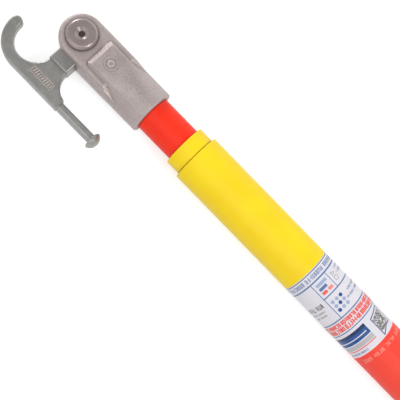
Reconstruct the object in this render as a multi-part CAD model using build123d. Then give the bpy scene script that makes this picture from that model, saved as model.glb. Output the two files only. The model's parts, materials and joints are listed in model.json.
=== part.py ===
from build123d import *
import math
import os

# Telescopic lineman hot stick, shown closed. Lengths are millimetres, angles are degrees.
# +X runs along the stick from the butt to the head, +Y is the side that the hook is
# turned to, and +Z is the axis of the hook's pivot. The origin is the butt face's centre.

# Glass-fibre tubes, one inside the next
tip_outer_d = 32.0
tip_wall = 2.5
mid_wall = 2.0
base_wall = 3.0
section_play = 0.5          # radial room between one tube and the next

# Fits
guide_gap = 0.3             # radial room of a guide lip or guide flange
seat_gap = 0.3              # room between faces that meet when the stick is closed
bond_gap = 0.05             # glue line, and the fit of pieces that stay put
running_gap = 0.05          # radial room of the pivot and side room of the tang
overrun = 3.0               # how far a cutter passes the wall that it cuts

# Base section
base_length = 1308.2        # butt face to the boot's top
boot_length = 128.4
boot_wall = 1.0
boot_lip = 4.0              # the boot's end wall over the tube's mouth
boot_round = 1.6
label_length = 79.0
label_film = 0.3
label_sunk = 0.05           # the film lies this much below the tube's face
butt_pad_thickness = 5.0
butt_pad_inset = 1.0        # the pad is this much smaller in radius than the tube
butt_flange = 8.0
butt_spigot = 30.0
butt_round = 1.5
bumper_thickness = 10.0

# Middle section's collar
collar_length = 13.3
collar_wall = 0.8
collar_lip = 3.0
collar_round = 0.6

# Guide plug in the lower end of each sliding section
guide_flange = 4.0
guide_spigot = 90.0
vent_d = 5.0
mid_bumper_thickness = 4.0

# Lock buttons
button_d = 10.0
button_flange_d = 12.4
button_flange = 2.0
button_gap = 0.2            # radial room round a button
lock_hole_gap = 0.4         # radial room of the hole that a button locks into
button_dome = 1.6           # height of the rounded nose
button_inset = 60.0         # from the guide plug's foot to the button
lock_inset = 70.0           # from a section's mouth to its lock hole
lock_proud = 1.0            # how far a sprung-out button stands above the locked wall
button_seat = 2.0           # from the stick's axis to the floor of the button's bore
spring_wire_d = 0.9
spring_mean_d = 8.0
spring_turns = 4
spring_peg = 1.2            # peg under the button that centres the spring

# Head casting, measured from the pivot
tip_showing = 36.8          # tube seen between the collar and the head
head_length = 81.8          # pivot to the socket's mouth
socket_wall = 4.5
socket_depth = 50.0
socket_round = 1.5
fork_half_width = 19.8      # at the mid-plane
fork_thickness = 32.8
fork_draft = 4.5
fork_round = 3.0
flank_end = 41.0            # where the fork's flat flanks start to fall away
flank_run = 18.5            # how far they take to sink into the socket
flank_close = 0.8           # how far each side closes in meanwhile
nose_start = 14.0           # where the socket's round sides leave the fork's sides
nose_full = 31.0            # where they reach the socket's full radius
pad_front = 17.8            # foot of the raised pad's front ramp
pad_ramp = 6.0              # how far the ramp takes to reach the pad's face
pad_half_width = 14.2       # at its foot
pad_draft = 33.0
pad_corner = 6.0
pad_round = 1.6
pad_ramp_bulge = 0.6        # how far the ramp swells above a straight one
pad_camber = 0.1            # how much lower the pad's face is along its sides
pad_fade_start = 34.0       # where the pad starts to turn into the round socket
pad_fade_end = 56.0         # where it has become the round socket

# Hook: a forged plate with a thicker tang
tang_thickness = 14.5
eye_r = 12.2                # the tang's round end, which its back runs off
tang_step = 0.2             # how far the tang's sides stand out past the neck's
tang_length = 29.4
tang_round = 1.4
plate_thickness = 9.5
plate_round = 2.0
throat_x = 24.6             # centre of the hook's throat
throat_y = 27.7
throat_r = 17.8
hook_width = 9.8            # at the tip
hook_taper = 0.6            # how far the bend's outer arc sits below the throat's centre
bar_height = 10.5
bar_tail = 27.1             # from the pivot back to the bar's end
bar_bevel = 1.8
bar_bevel_land = 0.3        # flat left round the prong at the bevelled end
bar_fillet_r = 15.7

# Prong, a turned pin screwed into the bar's end
prong_d = 8.3
prong_length = 36.5
prong_tail_d = 6.0
prong_tail = 16.0
prong_bar_offset = 4.7      # the prong's axis above the bar's straight edge
mushroom_d = 15.0
mushroom_height = 6.6
mushroom_rim = 2.1
mushroom_undercut = 1.0

# Pivot hardware
pivot_d = 12.0
cap_d = 26.4
cap_height = 4.2
cap_round = 3.3
socket_af = 5.0             # hex recess, across flats
socket_hex_depth = 5.0
recess_d = 10.8
recess_depth = 2.0
friction_washer = 1.0
nut_af = 19.0
nut_height = 7.0
nut_pocket = 3.0
spring_washer = 1.5
spring_washer_d = 18.4
thread_end = 0.5            # the screw stops this far inside the nut's outer face
nut_chamfer = 0.8
rivet_d = 5.0
rivet_head_d = 9.0
rivet_inset = 24.0          # from the socket's mouth
rivet_tail = 1.5

# Radii that follow
tip_r = tip_outer_d / 2
tip_bore_r = tip_r - tip_wall
mid_bore_r = tip_r + section_play
mid_r = mid_bore_r + mid_wall
base_bore_r = mid_r + section_play
base_r = base_bore_r + base_wall
boot_seat_r = base_r - boot_wall
label_r = base_r - label_sunk
label_seat_r = label_r - label_film
collar_r = mid_r + collar_wall
button_r = button_d / 2
socket_r = tip_r + bond_gap + socket_wall
pivot_r = pivot_d / 2

# Stations along X that follow
base_tube_x = butt_pad_thickness + butt_flange
bumper_x = base_tube_x + butt_spigot
mid_foot_x = bumper_x + bumper_thickness + seat_gap
mid_tube_x = mid_foot_x + guide_flange
mid_bumper_x = mid_tube_x + guide_spigot
tip_foot_x = mid_bumper_x + mid_bumper_thickness + seat_gap
tip_tube_x = tip_foot_x + guide_flange
boot_x = base_length - boot_length
label_x = boot_x - label_length
collar_x = base_length + seat_gap
collar_top_x = collar_x + collar_length
mid_mouth_x = collar_top_x - collar_lip
socket_mouth_x = collar_top_x + tip_showing
pivot_x = socket_mouth_x + head_length
mid_button_x = mid_foot_x + button_inset
tip_button_x = tip_foot_x + button_inset
base_lock_x = base_length - lock_inset
mid_lock_x = collar_top_x - lock_inset

# Levels along Z that follow
fork_z = fork_thickness / 2
slot_z = tang_thickness / 2 + friction_washer + running_gap
pocket_z = fork_z - nut_pocket
nut_z = pocket_z + spring_washer + 2 * bond_gap
hook_nose_r = hook_width / 2
hook_nose_x = throat_r + hook_nose_r
hook_outer_r = math.hypot(hook_nose_x, hook_taper) + hook_nose_r
bar_edge_y = throat_y + hook_taper + hook_outer_r
prong_y = bar_edge_y - prong_bar_offset
neck_front = throat_x - throat_r
neck_back = eye_r - tang_step
tang_front = neck_front + tang_step

# Travels, printed for the record: each section slides until its button meets the lock hole
mid_travel = base_lock_x - mid_button_x
tip_travel = mid_lock_x - tip_button_x


def rod(x_start, x_end, radius):
    """A round bar on the stick's axis between two stations."""
    return extrude(Plane.YZ.offset(x_start) * Circle(radius), x_end - x_start)


def tube(x_start, x_end, outer_r, inner_r):
    """A tube on the stick's axis between two stations."""
    ring = Circle(outer_r) - Circle(inner_r)
    return extrude(Plane.YZ.offset(x_start) * ring, x_end - x_start)


def radial_hole(x, diameter, z_start, z_end):
    """A cutter that points along Z, for a hole on the stick's hidden side."""
    return Pos(x, 0, z_start) * extrude(Circle(diameter / 2), z_end - z_start)


def turned(points):
    """A body of revolution about the X axis, from (x, radius) points."""
    profile = make_face(Polyline(*points, close=True))
    return revolve(profile, Axis.X)


# Base section


def butt_pad():
    """The rubber foot that the stick is stood on."""
    pad = rod(0, butt_pad_thickness, base_r - butt_pad_inset)
    return fillet(pad.edges().sort_by(Axis.X)[0], butt_round)


def butt_plug():
    """The moulded plug that closes the base tube."""
    flange = rod(butt_pad_thickness, base_tube_x, base_r)
    flange = fillet(flange.edges().sort_by(Axis.X)[0], butt_round)
    return flange + rod(base_tube_x, bumper_x, base_bore_r - bond_gap)


def base_bumper():
    """The rubber disc that the sections land on when the stick closes."""
    return rod(bumper_x, bumper_x + bumper_thickness, base_bore_r - guide_gap)


def base_tube():
    """The outer glass-fibre tube, turned down at the top for its label and boot."""
    mouth_x = base_length - boot_lip
    shape = tube(base_tube_x, mouth_x, base_r, base_bore_r)
    shape -= tube(label_x, mouth_x + overrun, base_r + overrun, label_seat_r)
    shape -= tube(boot_x, mouth_x + overrun, base_r + overrun, boot_seat_r)
    hole_d = button_d + 2 * lock_hole_gap
    return shape - radial_hole(base_lock_x, hole_d, -base_r - overrun, 0)


def base_boot():
    """The yellow boot: a thin sleeve over the tube with a guide lip at the mouth."""
    lip_x = base_length - boot_lip
    shape = rod(boot_x, base_length, base_r)
    shape = fillet(shape.edges().sort_by(Axis.X)[-1], boot_round)
    shape -= rod(boot_x - overrun, lip_x, boot_seat_r)
    shape -= rod(lip_x - overrun, base_length + overrun, mid_r + guide_gap)
    hole_d = button_d + 2 * lock_hole_gap
    return shape - radial_hole(base_lock_x, hole_d, -base_r - overrun, 0)


def base_label():
    """The printed film wrapped round the tube below the boot."""
    return tube(label_x, boot_x, label_r, label_seat_r)


# Parts that both sliding sections have


def guide_plug(foot_x, tube_bore_r, outer_bore_r, button_x):
    """The moulded plug in a section's lower end: a flange that runs in the next
    tube's bore, a spigot in the section's own tube, the button's bore and a vent."""
    spigot_r = tube_bore_r - bond_gap
    tube_x = foot_x + guide_flange
    end_x = tube_x + guide_spigot
    shape = rod(foot_x, tube_x, outer_bore_r - guide_gap) + rod(tube_x, end_x, spigot_r)
    bore_d = button_flange_d + 2 * button_gap
    shape -= radial_hole(button_x, bore_d, -spigot_r - overrun, -button_seat)
    vent = Pos(0, 0, (spigot_r + button_seat) / 2) * rod(foot_x - overrun, end_x + overrun, vent_d / 2)
    return shape - vent


def section_tube(x_start, x_end, outer_r, bore_r, button_x):
    """A glass-fibre tube with the hole that its lock button stands in."""
    hole_d = button_d + 2 * button_gap
    return tube(x_start, x_end, outer_r, bore_r) - radial_hole(button_x, hole_d, -outer_r - overrun, 0)


def button_levels(tube_bore_r, outer_bore_r, lock_r):
    """How far the closed stick holds a button's nose and shoulder from the axis."""
    nose = outer_bore_r - seat_gap
    spring_out = lock_r + lock_proud - nose
    shoulder = tube_bore_r - spring_out
    return nose, shoulder


def lock_button(x, tube_bore_r, outer_bore_r, lock_r):
    """A button held in by the next tube's wall: nose, shank, shoulder and spring peg."""
    nose, shoulder = button_levels(tube_bore_r, outer_bore_r, lock_r)
    shank_top = nose - button_dome
    foot = shoulder - button_flange
    dome_r = (button_r ** 2 + button_dome ** 2) / (2 * button_dome)
    shank = extrude(Circle(button_r), nose - foot) & Pos(0, 0, nose - foot - dome_r) * Sphere(dome_r)
    shank += extrude(Circle(button_r), shank_top - foot)
    shank += extrude(Circle(button_flange_d / 2), button_flange)
    peg_r = (spring_mean_d - spring_wire_d) / 2 - button_gap
    shank += Pos(0, 0, -spring_peg) * extrude(Circle(peg_r), spring_peg)
    return Pos(x, 0, -foot) * Rot(180, 0, 0) * shank


def button_spring(x, tube_bore_r, outer_bore_r, lock_r):
    """The coil spring between the bore's floor and the button's shoulder."""
    nose, shoulder = button_levels(tube_bore_r, outer_bore_r, lock_r)
    foot = shoulder - button_flange - bond_gap
    height = foot - button_seat - bond_gap - spring_wire_d
    coil = Helix(pitch=height / spring_turns, height=height, radius=spring_mean_d / 2)
    section = Plane(origin=coil @ 0, z_dir=coil % 0) * Circle(spring_wire_d / 2)
    wire = sweep(section, path=coil)
    return Pos(x, 0, -foot + spring_wire_d / 2) * wire


# Middle section


def mid_bumper():
    """The rubber disc on the middle section's plug that the tip section lands on."""
    return rod(mid_bumper_x, mid_bumper_x + mid_bumper_thickness, mid_bore_r - guide_gap)


def mid_tube():
    """The middle glass-fibre tube, with its own lock button and the tip's lock hole."""
    shape = section_tube(mid_tube_x, mid_mouth_x, mid_r, mid_bore_r, mid_button_x)
    hole_d = button_d + 2 * lock_hole_gap
    return shape - radial_hole(mid_lock_x, hole_d, -mid_r - overrun, 0)


def mid_collar():
    """The yellow cap ring at the middle tube's mouth, which lands on the boot."""
    shape = rod(collar_x, collar_top_x, collar_r)
    shape = fillet(shape.edges().filter_by(GeomType.CIRCLE), collar_round)
    shape -= rod(collar_x - overrun, mid_mouth_x, mid_r + bond_gap)
    return shape - rod(collar_x, collar_top_x + overrun, tip_r + guide_gap)


# Head casting


def fork_block():
    """The fork's block: a drafted eye and flanks whose ends slope down to the socket."""
    back = flank_end + flank_run
    back_half = fork_half_width - flank_close
    sides = Polyline(
        (0, fork_half_width), (-flank_end, fork_half_width), (-back, back_half),
        (-back, -back_half), (-flank_end, -fork_half_width), (0, -fork_half_width), close=True)
    plan = Circle(fork_half_width) + make_face(sides)
    half = extrude(plan, fork_z, taper=fork_draft)
    face = half.faces().sort_by(Axis.Z)[-1]
    rear_edge = face.edges().sort_by(Axis.X)[0]
    half = fillet(ShapeList(e for e in face.edges() if e != rear_edge), fork_round)
    land_z = math.sqrt(max(socket_r ** 2 - back_half ** 2, 0))
    fall = Polyline(
        (-flank_end, fork_z),
        (-back - overrun, land_z - overrun * (fork_z - land_z) / flank_run),
        (-back - overrun, fork_z + overrun),
        (-flank_end, fork_z + overrun),
        close=True,
    )
    half -= extrude(Plane.XZ * make_face(fall), 2 * fork_half_width, both=True)
    return half + mirror(half, Plane.XY)


def socket_barrel():
    """The round socket behind the fork."""
    barrel = rod(-head_length, -flank_end, socket_r)
    return fillet(barrel.edges().sort_by(Axis.X)[0], socket_round)


def socket_shoulders():
    """The round sides of the socket, swelling out of the fork's flanks."""
    start_r = fork_half_width * math.cos(math.radians(fork_draft)) - bond_gap
    swell = turned([
        (-flank_end - overrun, 0),
        (-flank_end - overrun, socket_r),
        (-nose_full, socket_r),
        (-nose_start, start_r),
        (-nose_start, 0),
    ])
    return swell & extrude(Rectangle(2 * head_length, 4 * socket_r), fork_z, both=True)


def pad_section(x, face_half, corner_z, foot_z):
    """The pad's section across the stick: a face, two sides and a foot inside the casting."""
    half = pad_half_width
    root_z = foot_z - overrun
    sides = Polyline((-face_half, corner_z), (-half, foot_z), (-half, root_z), (half, root_z),
                     (half, foot_z), (face_half, corner_z))
    crown = ThreePointArc((face_half, corner_z), (0, socket_r), (-face_half, corner_z))
    section = make_face([*sides.edges(), crown])
    section = fillet(section.vertices().sort_by(Axis.Y)[-2:], pad_round)
    return Plane.YZ.offset(x) * section


def raised_pad():
    """The pad that the top of the socket runs forward into, with a ramp at its front."""
    rise = socket_r - fork_z
    face_half = pad_half_width - rise * math.tan(math.radians(pad_draft))
    flat = pad_section(-pad_fade_start, face_half, socket_r - pad_camber, fork_z)
    corner_z = math.sqrt(socket_r ** 2 - face_half ** 2)
    round_foot_z = math.sqrt(socket_r ** 2 - pad_half_width ** 2)
    end = pad_section(-pad_fade_end, face_half, corner_z, round_foot_z)
    fade = loft([flat, end], ruled=True)
    block = extrude(flat, pad_fade_start - pad_front)
    length = 2 * (pad_fade_start - pad_front)
    plan = RectangleRounded(length, 2 * pad_half_width, pad_corner)
    block &= Pos(-pad_front - length / 2, 0, 0) * extrude(plan, 2 * socket_r)
    foot = (-pad_front, fork_z)
    middle = (-pad_front - pad_ramp / 2, fork_z + rise / 2 + pad_ramp_bulge)
    top = (-pad_front - pad_ramp, socket_r + pad_camber)
    above = Polyline(top, (-pad_front - pad_ramp, 2 * socket_r), (0, 2 * socket_r), (0, fork_z), foot)
    ramp = make_face([ThreePointArc(foot, middle, top), *above.edges()])
    block -= extrude(Plane.XZ * ramp, 2 * pad_half_width, both=True)
    return block + fade


def nut_hexagon(clearance):
    """The nut's outline, with room round it when it is a pocket."""
    return RegularPolygon(nut_af / 2 + clearance, 6, major_radius=False)


def fork_slot():
    """The slot's outline: a seat round the eye, and a floor on each side that stops the neck."""
    outline = Circle(eye_r + seat_gap)
    depth = 2 * fork_half_width
    for side, floor in ((1, eye_r + seat_gap), (-1, tang_front + seat_gap)):
        length = depth + floor
        outline += Pos(depth - length / 2, side * depth / 2) * Rectangle(length, depth)
    return outline


def head_casting():
    """The cast head: socket for the tip tube at the back and fork for the hook in front."""
    pad = raised_pad()
    shape = fork_block() + socket_barrel() + socket_shoulders() + pad + mirror(pad, Plane.XY)
    shape -= extrude(fork_slot(), slot_z, both=True)
    shape -= extrude(Circle(pivot_r + running_gap), 2 * fork_z, both=True)
    shape -= Pos(0, 0, -pocket_z) * extrude(nut_hexagon(bond_gap), -2 * nut_pocket)
    shape -= rod(-head_length - overrun, -head_length + socket_depth, tip_r + bond_gap)
    shape = Pos(pivot_x, 0, 0) * shape
    return shape - socket_rivet(bond_gap)


def socket_rivet(clearance=0.0):
    """The flush rivet through the socket and the tube, on the hidden side."""
    head_r = rivet_head_d / 2
    shank_r = rivet_d / 2
    top = socket_r - bond_gap
    taper = head_r - shank_r
    tail = tip_bore_r - rivet_tail
    rivet = extrude(Circle(shank_r + clearance), top - tail + clearance)
    cone = Pos(0, 0, top - tail - taper / 2) * Cone(shank_r + clearance, head_r + clearance, taper)
    solid = rivet + cone
    if clearance:
        solid += Pos(0, 0, top - tail) * extrude(Circle(head_r + clearance), overrun)
    return Pos(socket_mouth_x + rivet_inset, 0, -tail) * Rot(180, 0, 0) * solid


# Tip section


def tip_tube():
    """The slimmest glass-fibre tube, which carries the head."""
    end_x = socket_mouth_x + socket_depth - seat_gap
    shape = section_tube(tip_tube_x, end_x, tip_r, tip_bore_r, tip_button_x)
    return shape - socket_rivet(bond_gap)


# Hook and prong


def hook_outline():
    """The plate's outline: a half-round hook, a straight bar that runs on past its end, and a neck."""
    slant = math.cos(math.radians(45))
    share = hook_outer_r / (hook_outer_r - hook_nose_r)
    touch = (hook_nose_x * share, hook_taper * (1 - share))
    bottom = (0, hook_taper + hook_outer_r)
    outer_mid = (hook_outer_r * slant, hook_taper + hook_outer_r * slant)
    inner_mid = (throat_r * slant, throat_r * slant)
    outer = ThreePointArc(bottom, outer_mid, touch)
    nose = ThreePointArc(touch, (hook_nose_x, -hook_nose_r), (throat_r, 0))
    inner = ThreePointArc((throat_r, 0), inner_mid, (0, throat_r))
    bend = make_face([outer, nose, inner, Line((0, throat_r), bottom)])
    outline = Pos(throat_x, throat_y) * bend
    bar_length = throat_x + bar_tail + overrun
    bar_top_y = bar_edge_y - bar_height
    outline += Pos(throat_x - bar_length / 2, bar_edge_y - bar_height / 2) * Rectangle(bar_length, bar_height)
    heel_width = throat_x + neck_back
    heel_height = bar_edge_y - throat_y
    heel = Rectangle(heel_width, heel_height)
    outline += Pos(throat_x - heel_width / 2, bar_edge_y - heel_height / 2) * heel
    neck_width = neck_front + neck_back
    outline += Pos(neck_front - neck_width / 2, bar_edge_y / 2) * Rectangle(neck_width, bar_edge_y)
    web = Pos(-bar_fillet_r / 2, -bar_fillet_r / 2) * Rectangle(bar_fillet_r, bar_fillet_r)
    web -= Pos(-bar_fillet_r, -bar_fillet_r) * Circle(bar_fillet_r)
    outline += Pos(-neck_back, bar_top_y) * web
    return outline - Pos(throat_x, throat_y) * Circle(throat_r)


def bar_end_envelope():
    """The region that the bar's bevelled end is turned to, round the prong's axis."""
    land_r = prong_d / 2 + bar_bevel_land
    far_r = prong_y + overrun
    bevel_x = -bar_tail + bar_bevel
    front_x = throat_x + throat_r + hook_width + overrun
    region = turned([
        (-bar_tail, 0), (-bar_tail, land_r), (bevel_x, land_r + bar_bevel),
        (bevel_x, far_r), (front_x, far_r), (front_x, 0),
    ])
    return Pos(0, prong_y, 0) * region


def hook_plate():
    """The forged hook: plate, thicker tang with a round eye, and a tapped hole for the prong."""
    plate = extrude(hook_outline(), plate_thickness / 2, both=True)
    rims = plate.faces().filter_by(Axis.Z)
    plate = fillet(rims.edges(), plate_round) & bar_end_envelope()
    tang_width = tang_front + eye_r
    tang_plan = Circle(eye_r)
    tang_plan += Pos(tang_front - tang_width / 2, tang_length / 2) * Rectangle(tang_width, tang_length)
    tang = extrude(tang_plan, tang_thickness / 2, both=True)
    tang = fillet(tang.faces().filter_by(Axis.Z).edges(), tang_round)
    shape = plate + tang
    shape -= extrude(Circle(pivot_r + running_gap), tang_thickness, both=True)
    tail_r = prong_tail_d / 2 + bond_gap
    shape -= Pos(0, prong_y, 0) * rod(-bar_tail - overrun, -bar_tail + prong_tail, tail_r)
    return Pos(pivot_x, 0, 0) * shape


def prong_pin():
    """The turned prong: tail in the bar, plain shank and mushroom end."""
    shank_r = prong_d / 2
    rim_r = mushroom_d / 2
    start = -bar_tail
    neck = start - prong_length
    rim_x = neck - mushroom_undercut
    dome_x = neck - mushroom_rim
    dome_height = mushroom_height - mushroom_rim
    dome_r = (rim_r ** 2 + dome_height ** 2) / (2 * dome_height)
    tail_x = start + prong_tail - bond_gap
    shank = turned([
        (rim_x, 0), (tail_x, 0), (tail_x, prong_tail_d / 2), (start, prong_tail_d / 2),
        (start, shank_r), (neck, shank_r), (neck, rim_r - mushroom_undercut), (rim_x, rim_r),
    ])
    rim = rod(dome_x, rim_x, rim_r)
    dome_tip = dome_x - dome_height
    dome = rod(dome_tip, dome_x, rim_r) & Pos(dome_tip + dome_r, 0, 0) * Sphere(dome_r)
    return Pos(pivot_x, prong_y, 0) * (shank + rim + dome)


# Pivot hardware


def pivot_screw():
    """The broad low-head screw that the hook turns on."""
    head = extrude(Circle(cap_d / 2), cap_height)
    head = fillet(head.edges().sort_by(Axis.Z)[-1], cap_round)
    end_z = -(nut_z + nut_height - thread_end)
    head = Pos(0, 0, fork_z) * head
    shank = Pos(0, 0, end_z) * extrude(Circle(pivot_r), fork_z - end_z)
    top_z = fork_z + cap_height
    cone = Pos(0, 0, top_z - recess_depth / 2) * Cone(socket_af / 2, recess_d / 2, recess_depth)
    hexagon = RegularPolygon(socket_af / 2, 6, major_radius=False)
    key = Pos(0, 0, top_z - socket_hex_depth) * extrude(hexagon, socket_hex_depth)
    return Pos(pivot_x, 0, 0) * (head + shank - cone - key)


def friction_washers():
    """The two thin washers that grip the tang between the fork's ears."""
    ring = Circle(eye_r - bond_gap) - Circle(pivot_r + running_gap)
    washer = Pos(0, 0, slot_z - friction_washer) * extrude(ring, friction_washer)
    return [Pos(pivot_x, 0, 0) * washer, Pos(pivot_x, 0, 0) * mirror(washer, Plane.XY)]


def pivot_spring_washer():
    """The dished washer under the nut that keeps the friction even."""
    inner_r = pivot_r + running_gap
    outer_r = spring_washer_d / 2
    dish = spring_washer / 3
    profile = make_face(Polyline(
        (inner_r, 0), (outer_r, dish), (outer_r, spring_washer), (inner_r, spring_washer - dish), close=True))
    washer = revolve(Plane.XZ * profile, Axis.Z)
    return Pos(pivot_x, 0, -pocket_z - bond_gap) * Rot(180, 0, 0) * washer


def pivot_nut():
    """The hexagon nut held in the fork's pocket."""
    nut = extrude(nut_hexagon(0), nut_height)
    corner_r = nut_af / math.sqrt(3)
    crown = Pos(0, 0, nut_height / 2) * Cylinder(corner_r, nut_height)
    nut &= chamfer(crown.edges().sort_by(Axis.Z)[-1], nut_chamfer)
    nut -= extrude(Circle(pivot_r + bond_gap), nut_height + overrun)
    return Pos(pivot_x, 0, -nut_z) * Rot(180, 0, 0) * nut


mid_fit = (mid_bore_r, base_bore_r, base_r)
tip_fit = (tip_bore_r, mid_bore_r, mid_r)
nodes = {
    "butt_pad": butt_pad(),
    "butt_plug": butt_plug(),
    "base_bumper": base_bumper(),
    "base_tube": base_tube(),
    "base_boot": base_boot(),
    "base_label": base_label(),
    "mid_guide_plug": guide_plug(mid_foot_x, mid_bore_r, base_bore_r, mid_button_x),
    "mid_bumper": mid_bumper(),
    "mid_tube": mid_tube(),
    "mid_collar": mid_collar(),
    "mid_lock_button": lock_button(mid_button_x, *mid_fit),
    "mid_button_spring": button_spring(mid_button_x, *mid_fit),
    "tip_guide_plug": guide_plug(tip_foot_x, tip_bore_r, mid_bore_r, tip_button_x),
    "tip_tube": tip_tube(),
    "tip_lock_button": lock_button(tip_button_x, *tip_fit),
    "tip_button_spring": button_spring(tip_button_x, *tip_fit),
    "head_casting": head_casting(),
    "socket_rivet": socket_rivet(),
    "pivot_screw": pivot_screw(),
    "friction_washers": Compound(children=friction_washers()),
    "pivot_spring_washer": pivot_spring_washer(),
    "pivot_nut": pivot_nut(),
    "hook_plate": hook_plate(),
    "prong_pin": prong_pin(),
}

os.makedirs("parts", exist_ok=True)
for name, shape in nodes.items():
    export_step(shape, f"parts/{name}.step")

print("pivot at x", round(pivot_x, 3))
print("prong axis at y", round(prong_y, 3))
print("middle section's travel", round(mid_travel, 3))
print("tip section's travel", round(tip_travel, 3))
print("springs' fixed ends at z", round(-button_seat, 3))
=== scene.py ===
import json
import math
import random

import bmesh
import bpy
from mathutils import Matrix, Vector


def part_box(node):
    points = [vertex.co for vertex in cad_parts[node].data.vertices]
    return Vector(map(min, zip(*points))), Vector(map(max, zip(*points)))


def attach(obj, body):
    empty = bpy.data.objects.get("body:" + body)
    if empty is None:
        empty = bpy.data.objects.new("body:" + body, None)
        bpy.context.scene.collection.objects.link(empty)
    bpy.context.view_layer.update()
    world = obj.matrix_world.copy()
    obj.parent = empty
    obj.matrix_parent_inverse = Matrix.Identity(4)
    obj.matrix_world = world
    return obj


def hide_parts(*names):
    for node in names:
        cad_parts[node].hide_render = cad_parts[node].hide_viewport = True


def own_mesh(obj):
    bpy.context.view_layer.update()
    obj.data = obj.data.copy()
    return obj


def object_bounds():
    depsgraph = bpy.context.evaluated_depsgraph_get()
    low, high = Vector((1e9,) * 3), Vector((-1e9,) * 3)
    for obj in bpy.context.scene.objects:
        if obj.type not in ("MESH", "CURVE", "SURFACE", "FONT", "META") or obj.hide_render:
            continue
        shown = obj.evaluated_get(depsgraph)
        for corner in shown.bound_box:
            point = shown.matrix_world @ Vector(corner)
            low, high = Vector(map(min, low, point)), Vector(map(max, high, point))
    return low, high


# Looks of the telescopic hot stick. Lengths are metres. +X runs from the butt to the head.

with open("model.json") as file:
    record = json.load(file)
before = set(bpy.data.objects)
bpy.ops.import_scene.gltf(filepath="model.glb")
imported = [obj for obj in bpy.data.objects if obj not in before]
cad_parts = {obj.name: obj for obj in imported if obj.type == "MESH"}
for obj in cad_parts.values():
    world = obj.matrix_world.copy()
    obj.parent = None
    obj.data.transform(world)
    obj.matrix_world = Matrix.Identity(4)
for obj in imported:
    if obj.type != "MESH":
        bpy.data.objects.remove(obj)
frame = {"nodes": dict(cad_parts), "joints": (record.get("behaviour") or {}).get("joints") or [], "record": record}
cad_low, cad_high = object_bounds()
nodes = frame["nodes"]
mm = 0.001
random.seed(7)

# Camera, as the photograph was taken: the whole picture is 400 pixels wide
picture_px = 400
focal_px = 720
sensor_mm = 36
near_clip = 0.02
camera_distance = 0.590
camera_tilt = math.radians(10)
camera_roll = math.radians(45.75)
aim_behind_pivot = 0.1599
aim_beside_axis = 0.0216

# Places that the frame gives
swing = next(joint for joint in frame["joints"] if joint["name"] == "hook_swing")
pivot = Vector(swing["pos_m"])
label_low, label_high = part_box("base_label")
label_end_x = label_high.x
label_r = label_high.z
casting_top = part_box("head_casting")[1].z
bar_high_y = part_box("hook_plate")[1].y


def srgb(red, green, blue):
    """A colour as it is seen, from 0 to 255, as the linear values that shaders take."""
    linear = []
    for value in (red / 255, green / 255, blue / 255):
        linear.append(value / 12.92 if value <= 0.04045 else ((value + 0.055) / 1.055) ** 2.4)
    return (*linear, 1.0)


# Materials


class Finish:
    """A Principled material, built up from object-space textures."""

    def __init__(self, name, roughness, metallic=0.0, coat=0.0, coat_roughness=0.03, specular=0.5):
        """metallic, coat and specular are the shader's own levels, the same all over."""
        self.material = bpy.data.materials.new(name)
        self.material.use_nodes = True
        self.tree = self.material.node_tree
        self.shader = self.tree.nodes["Principled BSDF"]
        self.shader.inputs["Roughness"].default_value = roughness
        self.shader.inputs["Metallic"].default_value = metallic
        self.shader.inputs["Coat Weight"].default_value = coat
        self.shader.inputs["Coat Roughness"].default_value = coat_roughness
        self.shader.inputs["Specular IOR Level"].default_value = specular
        self.place = self.tree.nodes.new("ShaderNodeTexCoord").outputs["Object"]

    def link(self, source, target):
        """Joins two sockets."""
        self.tree.links.new(source, target)

    def noise(self, scale, detail=2.0, stretch=(1, 1, 1)):
        """Noise with so many grains a metre, drawn out where stretch is under 1."""
        mapping = self.tree.nodes.new("ShaderNodeMapping")
        mapping.inputs["Scale"].default_value = stretch
        self.link(self.place, mapping.inputs["Vector"])
        node = self.tree.nodes.new("ShaderNodeTexNoise")
        node.inputs["Scale"].default_value = scale
        node.inputs["Detail"].default_value = detail
        self.link(mapping.outputs["Vector"], node.inputs["Vector"])
        return node.outputs["Fac"]

    def ramp(self, source, stops):
        """A colour for each level of source, from (level, colour) pairs."""
        node = self.tree.nodes.new("ShaderNodeValToRGB")
        elements = node.color_ramp.elements
        while len(elements) < len(stops):
            elements.new(0.5)
        for element, (level, colour) in zip(elements, stops):
            element.position = level
            element.color = colour
        self.link(source, node.inputs["Fac"])
        return node.outputs["Color"]

    def mix(self, share, below, above):
        """below where share is 0 and above where it is 1."""
        node = self.tree.nodes.new("ShaderNodeMix")
        node.data_type = "RGBA"
        self.link(share, node.inputs["Factor"])
        for value, socket in ((below, node.inputs[6]), (above, node.inputs[7])):
            if isinstance(value, tuple):
                socket.default_value = value
            else:
                self.link(value, socket)
        return node.outputs[2]

    def levels(self, source, low, high, to_low, to_high):
        """source, stretched from low..high to to_low..to_high."""
        node = self.tree.nodes.new("ShaderNodeMapRange")
        node.inputs["From Min"].default_value = low
        node.inputs["From Max"].default_value = high
        node.inputs["To Min"].default_value = to_low
        node.inputs["To Max"].default_value = to_high
        self.link(source, node.inputs["Value"])
        return node.outputs["Result"]

    def nearness(self, distance, inside=False):
        """Near 0 in a crevice or, with inside, at an outer edge, and 1 on open faces."""
        node = self.tree.nodes.new("ShaderNodeAmbientOcclusion")
        node.inputs["Distance"].default_value = distance
        node.inside = inside
        node.samples = 8
        return node.outputs["AO"]

    def bump(self, source, distance):
        """Relief of that height."""
        node = self.tree.nodes.new("ShaderNodeBump")
        node.inputs["Distance"].default_value = distance
        node.inputs["Strength"].default_value = 1.0
        self.link(source, node.inputs["Height"])
        self.link(node.outputs["Normal"], self.shader.inputs["Normal"])

    def colour(self, source):
        """Colours the surface."""
        self.link(source, self.shader.inputs["Base Color"])

    def rough(self, source):
        """Sets how rough the surface is."""
        self.link(source, self.shader.inputs["Roughness"])


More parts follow.
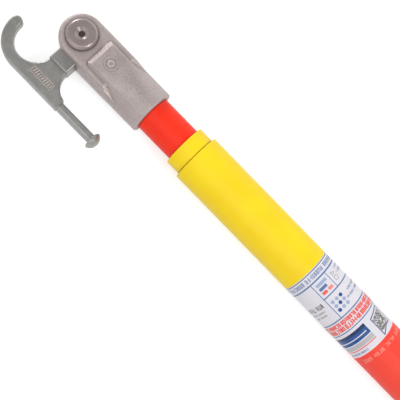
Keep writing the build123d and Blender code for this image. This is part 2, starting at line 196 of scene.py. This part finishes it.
def tinted(colour, share):
    """The colour, lighter or darker by that share."""
    return tuple(min(1.0, share * value) for value in colour[:3]) + (1.0,)


def cast_metal(name, face, dark, grain, relief, roughness, crevice_reach, edge_highlight_share=0.6):
    """Sand-cast and blasted aluminium, with painted shade in its crevices and a painted highlight along its edges.
    """
    finish = Finish(name, roughness, metallic=0.42)
    fine = finish.noise(grain, 3)
    broad = finish.noise(90, 2)
    body = finish.ramp(broad, [(0.3, face), (0.75, tinted(face, 1.14))])
    speckled = finish.mix(finish.levels(fine, 0.5, 0.72, 0, 0.4), body, dark)
    # Painted highlight: the outer edges are drawn paler.
    painted_edge_highlight = finish.levels(finish.nearness(1.2 * mm, inside=True), 0.5, 0.9, edge_highlight_share, 0)
    edged = finish.mix(painted_edge_highlight, speckled, tinted(face, 1.6))
    # Painted shade: the colour darkens in crevices and at the feet of walls, as far as crevice_reach.
    crevice = finish.levels(finish.nearness(crevice_reach), 0.5, 0.93, 0.9, 0)
    finish.colour(finish.mix(crevice, edged, dark))
    finish.rough(finish.levels(broad, 0.3, 0.7, roughness - 0.05, roughness + 0.06))
    finish.bump(fine, relief)
    return finish.material


def plated_steel(name, face, dark, roughness, edge_shade_share=0.6):
    """Zinc-plated forged steel, with painted shade in its corners and along its edges."""
    finish = Finish(name, roughness, metallic=0.65)
    scale = finish.noise(300, 4)
    scuffs = finish.noise(260, 3, (0.5, 1, 1))
    body = finish.ramp(scale, [(0.35, tinted(face, 0.86)), (0.7, face)])
    # Painted shade: the outer edges are drawn darker.
    thin = finish.levels(finish.nearness(1.1 * mm, inside=True), 0.4, 0.8, edge_shade_share, 0)
    edged = finish.mix(thin, body, dark)
    # Painted shade: corners are drawn darker.
    corner = finish.levels(finish.nearness(1.4 * mm), 0.25, 0.65, 0.85, 0)
    finish.colour(finish.mix(corner, edged, dark))
    finish.rough(finish.levels(scuffs, 0.35, 0.7, roughness - 0.05, roughness + 0.08))
    finish.bump(scale, 0.02 * mm)
    return finish.material


def glass_fibre(name, face, deep):
    """Pigmented resin over glass fibre, with faint strands along the tube, a glossy skin and painted shade near
    other parts.
    """
    finish = Finish(name, 0.5, coat=0.12, coat_roughness=0.04, specular=0.2)
    strands = finish.noise(420, 3, (0.03, 1, 1))
    cloud = finish.noise(25, 2)
    body = finish.ramp(strands, [(0.3, deep), (0.6, face)])
    even = finish.mix(finish.levels(cloud, 0.4, 0.8, 0, 0.3), body, face)
    # Painted shade: the tube darkens where a collar or socket comes close.
    painted_mouth_shade = finish.levels(finish.nearness(3 * mm), 0.35, 0.75, 0.9, 0)
    finish.colour(finish.mix(painted_mouth_shade, even, tinted(deep, 0.3)))
    finish.bump(strands, 0.015 * mm)
    return finish.material


def vinyl(name, face, deep):
    """Satin dipped vinyl with a fine skin, faint handling marks and painted shade near other parts."""
    finish = Finish(name, 0.42, specular=0.3)
    skin = finish.noise(1500, 3)
    cloud = finish.noise(35, 3)
    marks = finish.noise(700, 1)
    body = finish.ramp(cloud, [(0.3, deep), (0.65, face)])
    marked = finish.mix(finish.levels(marks, 0.74, 0.8, 0, 0.35), body, deep)
    # Painted shade: the vinyl darkens at the step next to another part.
    painted_step_shade = finish.levels(finish.nearness(1.5 * mm), 0.35, 0.75, 0.8, 0)
    finish.colour(finish.mix(painted_step_shade, marked, tinted(deep, 0.35)))
    finish.rough(finish.levels(cloud, 0.3, 0.7, 0.36, 0.5))
    finish.bump(skin, 0.02 * mm)
    return finish.material


def moulded(name, face, roughness, grain, relief):
    """Rubber or moulded nylon with a fine grain."""
    finish = Finish(name, roughness)
    skin = finish.noise(grain, 3)
    finish.colour(finish.ramp(skin, [(0.35, face), (0.8, tinted(face, 1.5))]))
    finish.bump(skin, relief)
    return finish.material


def film(name, face):
    """Printed film with a little unevenness in its ink."""
    finish = Finish(name, 0.3, coat=0.1, coat_roughness=0.1, specular=0.3)
    cloud = finish.noise(160, 3)
    thin = tuple(value + 0.05 * (1 - value) for value in face[:3]) + (1.0,)
    finish.colour(finish.ramp(cloud, [(0.4, face), (0.8, thin)]))
    return finish.material


def turned_metal(name, face, roughness):
    """Plain turned or drawn metal with fine tool marks round the Z axis."""
    finish = Finish(name, roughness, metallic=1.0)
    marks = finish.noise(900, 2, (1, 1, 0.2))
    finish.colour(finish.ramp(marks, [(0.3, tinted(face, 0.7)), (0.7, face)]))
    finish.rough(finish.levels(marks, 0.3, 0.7, roughness - 0.05, roughness + 0.08))
    return finish.material


looks = {
    "rubber": moulded("rubber", srgb(38, 38, 40), roughness=0.75, grain=1200, relief=0.04 * mm),
    "moulded_black": moulded("moulded_black", srgb(48, 48, 50), roughness=0.5, grain=900, relief=0.02 * mm),
    "orange_tube": glass_fibre("orange_tube", srgb(252, 50, 20), srgb(249, 44, 18)),
    "yellow_boot": vinyl("yellow_boot", srgb(253, 222, 22), srgb(251, 214, 24)),
    "label": film("label", srgb(226, 223, 230)),
    "cast_aluminium": cast_metal(
        "cast_aluminium", srgb(176, 164, 161), srgb(84, 68, 68),
        grain=1100, relief=0.3 * mm, roughness=0.42, crevice_reach=2.5 * mm,
    ),
    "screw_metal": cast_metal(
        "screw_metal", srgb(158, 145, 143), srgb(94, 79, 80),
        grain=2200, relief=0.05 * mm, roughness=0.25, crevice_reach=5 * mm,
    ),
    "plated_steel": plated_steel("plated_steel", srgb(164, 163, 160), srgb(70, 64, 62), roughness=0.36),
    "bright_steel": turned_metal("bright_steel", srgb(190, 190, 192), roughness=0.3),
    "bronze": turned_metal("bronze", srgb(176, 140, 88), roughness=0.4),
}
# The outer base tube takes a paler red than the inner tubes.
paler_outer_tube = glass_fibre("paler_outer_tube", srgb(252, 76, 60), srgb(249, 68, 52))
# A lighter copy of the hook's plated steel for its raised panel: a painted highlight.
painted_highlight_steel = plated_steel(
    "painted_highlight_steel", srgb(236, 218, 210), srgb(150, 136, 130), roughness=0.45, edge_shade_share=0.0,
)
# A lighter copy of the cast aluminium for its raised marks: a painted highlight.
painted_highlight_cast = cast_metal(
    "painted_highlight_cast", srgb(194, 182, 179), srgb(100, 84, 84),
    grain=1300, relief=0.1 * mm, roughness=0.46, crevice_reach=0.5 * mm, edge_highlight_share=0.1,
)
for row in frame["record"]["subparts"]:
    carried = nodes[row["node"]]
    carried.data.materials.clear()
    outer = row["node"] == "base_tube"
    carried.data.materials.append(paler_outer_tube if outer else looks[row["material_slot"]])


# Pieces made here


def piece(name, mesh, material, body):
    """A mesh that rides on a body of the frame."""
    made = bpy.data.objects.new(name, mesh)
    bpy.context.scene.collection.objects.link(made)
    mesh.materials.append(material)
    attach(made, body)
    return made


def button_spring(node, body):
    """A copy of the coil under a lock button, carried on that section's body in place of the frame's own."""
    coil = nodes[node].copy()
    coil.data = nodes[node].data.copy()
    coil.name = f"{node}_coil"
    bpy.context.scene.collection.objects.link(coil)
    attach(coil, body)
    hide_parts(node)
    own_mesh(coil)


button_spring("tip_button_spring", "tip")
button_spring("mid_button_spring", "mid")


# Label print. Places on the label are millimetres: "along" from the boot towards the butt, and
# degrees round the tube from the top towards +Y.

print_gap = 0.02 * mm
print_r = label_r + print_gap
tube_print_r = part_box("base_tube")[1].z + print_gap
ink_step = 0.006 * mm
print_start = 0.6
print_turn = 2.5
label_span = (label_high.x - label_low.x) / mm - print_start
# No patch goes further round the tube than this without a point, in degrees
round_step = 3.0
# Each ink lies over those before it
print_inks = {
    "ink_silver": film("ink_silver", srgb(184, 182, 186)),
    "ink_deep_blue": film("ink_deep_blue", srgb(22, 78, 146)),
    "ink_dark": film("ink_dark", srgb(74, 74, 78)),
    "ink_pale_blue": film("ink_pale_blue", srgb(158, 176, 208)),
    "ink_grey": film("ink_grey", srgb(122, 122, 116)),
    "ink_blue": film("ink_blue", srgb(84, 116, 168)),
    "ink_violet": film("ink_violet", srgb(88, 78, 136)),
    "ink_navy": film("ink_navy", srgb(24, 44, 92)),
    "ink_pale_red": film("ink_pale_red", srgb(248, 142, 138)),
    "ink_red": film("ink_red", srgb(244, 84, 74)),
    "ink_white": film("ink_white", srgb(226, 223, 230)),
    "ink_pale": film("ink_pale", srgb(250, 158, 146)),
}
print_lifts = {name: i * ink_step for i, name in enumerate(print_inks)}
print_meshes = {name: bmesh.new() for name in print_inks}


def on_label(along, degrees, lift):
    """The point over the printed face at that place, or over the bare tube past the label's end."""
    angle = math.radians(print_turn + degrees)
    x = label_end_x - (print_start + along) * mm
    r = (print_r if along <= label_span else tube_print_r) + lift
    return Vector((x, r * math.sin(angle), r * math.cos(angle)))


def grid(ink, rows):
    """Prints a patch from rows of (along, degrees) points."""
    mesh = print_meshes[ink]
    made = [[mesh.verts.new(on_label(*point, print_lifts[ink])) for point in row] for row in rows]
    for upper, lower in zip(made, made[1:]):
        for i in range(len(upper) - 1):
            mesh.faces.new((upper[i], upper[i + 1], lower[i + 1], lower[i]))


def bar(ink, start, end, first, last):
    """A patch from start to end along the label and from first to last degrees."""
    count = max(1, math.ceil((last - first) / round_step))
    turns = [first + (last - first) * i / count for i in range(count + 1)]
    grid(ink, [[(start, turn), (end, turn)] for turn in turns])


def degrees_of(arc):
    """The angle of an arc of so many millimetres on the printed face."""
    return math.degrees(arc * mm / print_r)


def dot(ink, along, degrees, radius, corners=24):
    """A round patch laid on the label."""
    mesh = print_meshes[ink]
    lift = print_lifts[ink]
    middle = mesh.verts.new(on_label(along, degrees, lift))
    rim = []
    for i in range(corners):
        turn = 2 * math.pi * i / corners
        around = degrees + degrees_of(radius * math.sin(turn))
        rim.append(mesh.verts.new(on_label(along + radius * math.cos(turn), around, lift)))
    for i in range(corners):
        mesh.faces.new((middle, rim[i], rim[(i + 1) % corners]))


def glyphs(ink, start, height, first, last, width, gap, weight, word=6):
    """A row of made-up signs round the label, in groups of so many."""
    place = first
    placed = 0
    while place < last:
        wide = width * random.uniform(0.75, 1.15)
        turn = degrees_of(wide)
        pen = degrees_of(weight)
        bar(ink, start, start + height, place, place + pen)
        if random.random() < 0.6:
            bar(ink, start, start + height, place + turn - pen, place + turn)
        for level in random.sample((0, 0.42, 0.84), random.choice((1, 2))):
            low = start + level * height
            bar(ink, low, low + weight, place + pen, place + turn)
        placed += 1
        place += turn + degrees_of(gap * (3.5 if placed % word == 0 else 1))


def stroke(ink, points, width):
    """A line through (along, degrees) points."""
    for (a, b), (c, d) in zip(points, points[1:]):
        ahead = Vector((c - a, (d - b) / degrees_of(1))).normalized() * width / 2
        side_along, side_turn = -ahead.y, degrees_of(ahead.x)
        a, b = a - ahead.x, b - degrees_of(ahead.y)
        c, d = c + ahead.x, d + degrees_of(ahead.y)
        count = max(1, math.ceil(abs(d - b) / round_step))
        rows = []
        for i in range(count + 1):
            along, turn = a + (c - a) * i / count, b + (d - b) * i / count
            rows.append([(along + side_along, turn + side_turn), (along - side_along, turn - side_turn)])
        grid(ink, rows)


def speckle(ink, start, first, across, around, cell, lean, share):
    """A patch of random cells, leaning along the label by so much for each row round it."""
    turn = degrees_of(cell)
    for row in range(around):
        for column in range(across):
            if random.random() < share:
                low = start + row * lean + column * cell
                bar(ink, low, low + cell, first + row * turn, first + (row + 1) * turn)


# Lines that divide the label
full = (-180, 180)
rule = 1.0
cells_start = 8.7
cell_side = 24.2
cells_end = 43.0
cell_low = -15.8
cell_high = 24.0
cells_first = -95
bar("ink_blue", 0, 0.8 * rule, *full)
glyphs("ink_blue", 2.2, 3.6, *full, width=1.7, gap=0.7, weight=0.55, word=8)
bar("ink_blue", cells_start - 1.2 * rule, cells_start, *full)
bar("ink_blue", cells_start, cells_end, cell_high, cell_high + 1.8)
bar("ink_blue", cells_start, cell_side - rule, cell_low - 1.6, cell_low)
bar("ink_blue", cell_side - rule, cell_side, cells_first, cell_high)
bar("ink_blue", cells_end, cells_end + rule, *full)

# Upright bars in the first cell
for bar_ink, start, first, last in (
    ("ink_pale_blue", 11.0, -10, 18), ("ink_blue", 14.8, -2, 18), ("ink_red", 18.6, 6, 18),
    ("ink_pale_red", 18.6, -10, 2),
):
    bar(bar_ink, start, start + 2.6, first, last)

# Rows of dots in the second cell
for row in range(3):
    for column in range(3):
        dot_ink = "ink_deep_blue" if row == column else "ink_pale_blue"
        dot(dot_ink, 29.6 + 4.2 * column, -8 + 11.5 * row, 1.6)

# Small signs in the cells and two plain figures
for start, height, last in ((29.9, 1.7, -30), (34.3, 1.7, -15), (11.2, 1.6, -42), (15.0, 1.6, -42)):
    glyphs("ink_blue", start, height, -85, last, width=0.9, gap=0.35, weight=0.3)
stroke("ink_grey", [(12.0, -26), (13.8, -35), (15.2, -26), (12.0, -26)], 0.35)
stroke("ink_grey", [(16.6, -25), (16.6, -35), (19.8, -35), (19.8, -25), (16.6, -25)], 0.35)
for first, last in ((36, 62), (66, 92)):
    glyphs("ink_dark", 24.6, 4.0, first, last, width=2.0, gap=0.7, weight=0.6, word=3)
for start, height, first, last in ((30.6, 1.5, 42, 84), (34.2, 1.3, 44, 80)):
    glyphs("ink_grey", start, height, first, last, width=0.9, gap=0.5, weight=0.35)

# Two bold red rows, a line and a speckled patch in a frame
for start, height in ((45.2, 3.4), (49.5, 3.9)):
    glyphs("ink_red", start, height, *full, width=2.1, gap=0.3, weight=0.95, word=7)
bar("ink_blue", 54.6, 54.6 + 0.8 * rule, *full)
speckle("ink_grey", 59.6, -51, across=15, around=15, cell=0.82, lean=0.18, share=0.78)
stroke("ink_violet", [(57.4, -56), (60.6, -17), (77.0, -17), (73.2, -38), (73.6, -56), (57.4, -56)], 0.9)

# Stripes round the label's end
for stripe_ink, start, end, inset in (
    ("ink_navy", 58.0, 60.6, 0), ("ink_deep_blue", 60.6, 67.0, 0), ("ink_white", 63.4, 64.2, 6),
    ("ink_silver", 67.8, 71.6, 0), ("ink_red", 72.4, 73.2, 0),
):
    bar(stripe_ink, start, end, inset, 104 - inset)
glyphs("ink_blue", 74.9, 1.8, 30, 90, width=1.0, gap=0.4, weight=0.35)

# One faint row on the tube beyond the label
glyphs("ink_pale", 82.0, 3.2, -60, 70, width=1.9, gap=0.8, weight=0.45, word=4)

for name, mesh in print_meshes.items():
    mesh.normal_update()
    for face in mesh.faces:
        outward = face.calc_center_median() * Vector((0, 1, 1))
        if face.normal.dot(outward) < 0:
            face.normal_flip()
    data = bpy.data.meshes.new(name)
    mesh.to_mesh(data)
    mesh.free()
    data.polygons.foreach_set("use_smooth", [True] * len(data.polygons))
    piece(f"label_{name}", data, print_inks[name], "base")


# Plain raised marks on the metal

mark_behind_pivot = 33.7 * mm
mark_beside_axis = 0.4 * mm
mark_r = 5.7 * mm
mark_wall = 0.8 * mm
mark_inner_r = 3.0 * mm
mark_inner_wall = 1.6 * mm
raised_height = 0.4 * mm
raised_sunk = 0.1 * mm
mark_centre = Vector((pivot.x - mark_behind_pivot, mark_beside_axis, casting_top))
hook_face_z = 4.75 * mm
panel_low_x = -13.4 * mm
panel_high_x = 10.1 * mm
panel_below_bar = 7.5 * mm
panel_width = 5.8 * mm
panel_rim = 0.6 * mm
panel_ribs = 9
rib_share = 0.35
rib_lean = 0.3
block_bevel = 0.12 * mm


def lathe(profile, centre, steps=64):
    """A closed ring turned about the Z axis at centre, from (radius, height) points."""
    mesh = bmesh.new()
    turns = []
    for i in range(steps):
        angle = 2 * math.pi * i / steps
        side = Vector((math.cos(angle), math.sin(angle), 0))
        turns.append([mesh.verts.new(centre + side * r + Vector((0, 0, z))) for r, z in profile])
    for i in range(steps):
        here, there = turns[i], turns[(i + 1) % steps]
        for j in range(len(profile)):
            k = (j + 1) % len(profile)
            mesh.faces.new((here[j], there[j], there[k], here[k]))
    bmesh.ops.recalc_face_normals(mesh, faces=mesh.faces)
    data = bpy.data.meshes.new("ring")
    mesh.to_mesh(data)
    mesh.free()
    data.polygons.foreach_set("use_smooth", [True] * len(data.polygons))
    return data


def slabs(boxes):
    """One mesh of small blocks, each given by its corners in X and Y and its levels in Z,
    with a lean that moves its +Y end along X."""
    mesh = bmesh.new()
    for x0, x1, y0, y1, z0, z1, lean in boxes:
        corners = []
        for z, inset in ((z0, 0), (z1, block_bevel)):
            for x, y in ((x0 + inset, y0 + inset), (x1 - inset, y0 + inset),
                         (x1 - inset, y1 - inset), (x0 + inset, y1 - inset)):
                shift = lean * (y - y0) / (y1 - y0)
                corners.append(mesh.verts.new((x + shift, y, z)))
        for face in ((3, 2, 1, 0), (4, 5, 6, 7), (0, 1, 5, 4), (1, 2, 6, 5), (2, 3, 7, 6), (3, 0, 4, 7)):
            mesh.faces.new([corners[i] for i in face])
    data = bpy.data.meshes.new("slabs")
    mesh.to_mesh(data)
    mesh.free()
    return data


def casting_mark(radius, wall):
    """A plain raised ring on the casting's pad."""
    shoulder = 0.6 * raised_height
    profile = [
        (radius, -raised_sunk), (radius, shoulder), (radius - 0.25 * wall, raised_height),
        (radius - 0.75 * wall, raised_height), (radius - wall, shoulder), (radius - wall, -raised_sunk),
    ]
    return lathe(profile, mark_centre)


def hook_panel():
    """A raised frame with plain ribs on the hook's face."""
    x0, x1 = pivot.x + panel_low_x, pivot.x + panel_high_x
    y1 = bar_high_y - panel_below_bar
    y0 = y1 - panel_width
    levels = (hook_face_z - raised_sunk, hook_face_z + raised_height)
    boxes = [
        (x0, x1, y0, y0 + panel_rim, *levels, 0),
        (x0, x1, y1 - panel_rim, y1, *levels, 0),
        (x0, x0 + panel_rim, y0 + panel_rim, y1 - panel_rim, *levels, 0),
        (x1 - panel_rim, x1, y0 + panel_rim, y1 - panel_rim, *levels, 0),
    ]
    pitch = (x1 - x0 - 4 * panel_rim) / panel_ribs
    low_y, high_y = y0 + 2 * panel_rim, y1 - 2 * panel_rim
    for i in range(panel_ribs):
        left = x0 + 2 * panel_rim + i * pitch
        boxes.append((left, left + rib_share * pitch, low_y, high_y, *levels, rib_lean * pitch))
    return slabs(boxes)


# The raised marks take the lighter aluminium, a painted highlight.
piece("casting_mark", casting_mark(mark_r, mark_wall), painted_highlight_cast, "tip")
piece("casting_boss", casting_mark(mark_inner_r, mark_inner_wall), painted_highlight_cast, "tip")
# The panel takes the lighter steel, a painted highlight.
piece("hook_panel", hook_panel(), painted_highlight_steel, "hook")


# Camera, floor and light

white = 1.0
floor_side = 30
floor_gap = 0.2 * mm
floor_grey = 0.6
floor_roughness = 0.9
floor_glow = 0.58
world_light = 0.42
world_zenith = 0.2
# The sine of the height up to which metal sees white, and from which it sees the dim ceiling
horizon_top = 0.1
zenith_edge = 0.85


def make_camera():
    """The photograph's camera, rolled so that the stick runs down to the lower right."""
    toward = Vector((0, math.sin(camera_tilt), math.cos(camera_tilt)))
    along = Vector((1, 0, 0))
    beside = toward.cross(along)
    right = -math.cos(camera_roll) * along - math.sin(camera_roll) * beside
    up = math.sin(camera_roll) * along - math.cos(camera_roll) * beside
    aim = Vector((pivot.x - aim_behind_pivot, 0, 0)) + aim_beside_axis * beside
    data = bpy.data.cameras.new("camera")
    data.sensor_width = sensor_mm
    data.lens = sensor_mm * focal_px / picture_px
    data.clip_start = near_clip
    camera = bpy.data.objects.new("camera", data)
    bpy.context.scene.collection.objects.link(camera)
    rotation = Vector((0, 0, 0)).to_track_quat("Z", "Y").to_matrix()
    rotation.col[0], rotation.col[1], rotation.col[2] = right, up, toward
    camera.matrix_world = rotation.to_4x4()
    camera.location = aim + camera_distance * toward
    bpy.context.scene.camera = camera


def white_where_seen(tree, shader, strength):
    """Adds white that only the camera, reflections and glass see."""
    path = tree.nodes.new("ShaderNodeLightPath")
    seen = path.outputs["Is Camera Ray"]
    for name in ("Is Glossy Ray", "Is Transmission Ray"):
        either = tree.nodes.new("ShaderNodeMath")
        either.operation = "MAXIMUM"
        tree.links.new(seen, either.inputs[0])
        tree.links.new(path.outputs[name], either.inputs[1])
        seen = either.outputs[0]
    glow = tree.nodes.new("ShaderNodeMath")
    glow.operation = "MULTIPLY"
    glow.inputs[1].default_value = strength
    tree.links.new(seen, glow.inputs[0])
    lit = tree.nodes.new("ShaderNodeEmission")
    tree.links.new(glow.outputs[0], lit.inputs["Strength"])
    both = tree.nodes.new("ShaderNodeAddShader")
    tree.links.new(shader, both.inputs[0])
    tree.links.new(lit.outputs[0], both.inputs[1])
    return both.outputs[0]


def make_floor():
    """A plain pale floor under the stick."""
    bpy.ops.mesh.primitive_plane_add(size=floor_side, location=(pivot.x / 2, 0, cad_low.z - floor_gap))
    floor = bpy.context.object
    floor.name = "floor"
    material = bpy.data.materials.new("floor")
    material.use_nodes = True
    tree = material.node_tree
    shader = tree.nodes["Principled BSDF"]
    shader.inputs["Base Color"].default_value = (floor_grey, floor_grey, floor_grey, 1)
    shader.inputs["Roughness"].default_value = floor_roughness
    seen = white_where_seen(tree, shader.outputs[0], floor_glow)
    tree.links.new(seen, tree.nodes["Material Output"].inputs["Surface"])
    floor.data.materials.append(material)


def make_world():
    """Even soft light. The background is white where it is seen, in metal and in glass too.

    Metal sees that white at the horizon and a dimmer studio ceiling overhead.
    """
    world = bpy.data.worlds.new("world")
    bpy.context.scene.world = world
    world.use_nodes = True
    tree = world.node_tree
    path = tree.nodes.new("ShaderNodeLightPath")
    place = tree.nodes.new("ShaderNodeTexCoord")
    split = tree.nodes.new("ShaderNodeSeparateXYZ")
    tree.links.new(place.outputs["Generated"], split.inputs[0])
    reflected = tree.nodes.new("ShaderNodeMapRange")
    reflected.inputs["From Min"].default_value = horizon_top
    reflected.inputs["From Max"].default_value = zenith_edge
    reflected.inputs["To Min"].default_value = white
    reflected.inputs["To Max"].default_value = world_zenith
    tree.links.new(split.outputs["Z"], reflected.inputs["Value"])
    level = None
    for ray in ("Is Glossy Ray", "Is Camera Ray", "Is Transmission Ray"):
        choice = tree.nodes.new("ShaderNodeMix")
        tree.links.new(path.outputs[ray], choice.inputs["Factor"])
        choice.inputs["A"].default_value = world_light
        choice.inputs["B"].default_value = white
        if ray == "Is Glossy Ray":
            tree.links.new(reflected.outputs["Result"], choice.inputs["B"])
        if level is not None:
            tree.links.new(level, choice.inputs["A"])
        level = choice.outputs["Result"]
    ground = tree.nodes["Background"]
    ground.inputs["Color"].default_value = (white, white, white, white)
    tree.links.new(level, ground.inputs["Strength"])


def make_sun(name, direction, strength, spread):
    """Soft parallel light from that direction, even over the whole length; spread in degrees."""
    data = bpy.data.lights.new(name, "SUN")
    data.energy = strength
    data.angle = math.radians(spread)
    lamp = bpy.data.objects.new(name, data)
    bpy.context.scene.collection.objects.link(lamp)
    lamp.rotation_euler = Vector(direction).to_track_quat("Z", "Y").to_euler()


make_camera()
make_floor()
make_world()
make_sun("key", (0.0, 0.45, 1.0), 0.85, 60)
make_sun("butt_side", (-1.0, 0.0, 1.2), 1.0, 20)
make_sun("head_side", (0.9, -0.4, 0.25), 1.2, 20)
make_sun("far_side", (0.0, -1.0, 0.5), 0.35, 60)
make_sun("hook_side", (0.1, 1.0, 0.35), 0.15, 90)

bpy.context.scene.view_settings.view_transform = "Standard"
